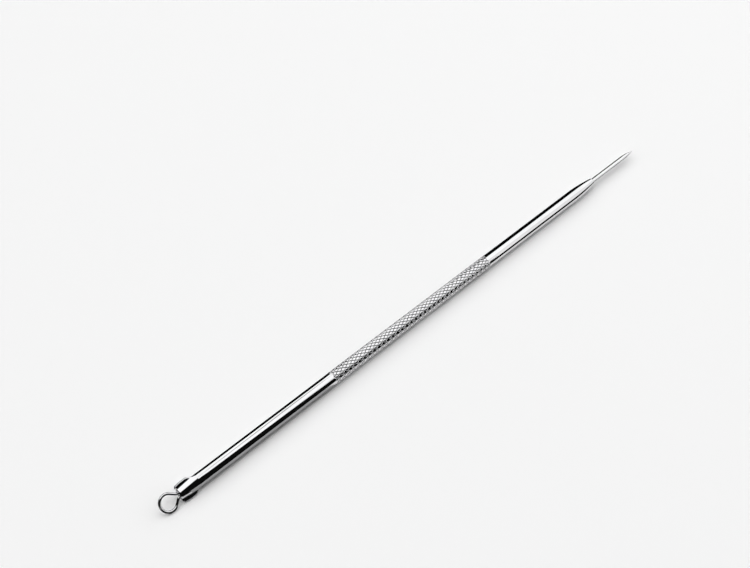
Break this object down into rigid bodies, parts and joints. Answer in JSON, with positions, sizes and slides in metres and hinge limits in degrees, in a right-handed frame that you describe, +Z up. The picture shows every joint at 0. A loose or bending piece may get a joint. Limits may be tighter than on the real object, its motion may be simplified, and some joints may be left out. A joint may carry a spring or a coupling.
{
  "type": "blackhead extractor",
  "caption": "Double-ended blackhead extractor: slim knurled steel rod with a crimped wire loop at one end and a lancet needle at the other.",
  "frame": {"origin": "on the rod's axis, halfway along the tool between the loop's outer edge and the needle's tip", "axes": "+X along the rod towards the needle's tip, with the loop at -X; +Z is up from the table on which the tool lies, on its grip, rolled over until one ear of the crimp all but touches the table: the loop's plane is turned 38.7 degrees about X, with its -Y side down and its face turned up and towards -Y"},
  "size_m": [0.124, 0.003, 0.0026],
  "materials": {
    "handle_steel": "mirror-polished, with a diamond-knurled grip",
    "loop_wire_steel": "bright drawn wire",
    "needle_steel": "polished, with a ground point"
  },
  "bodies": {
    "root": {"handle": "handle_steel", "extractor_loop": "loop_wire_steel", "lancet_needle": "needle_steel"}
  },
  "joints": []
}
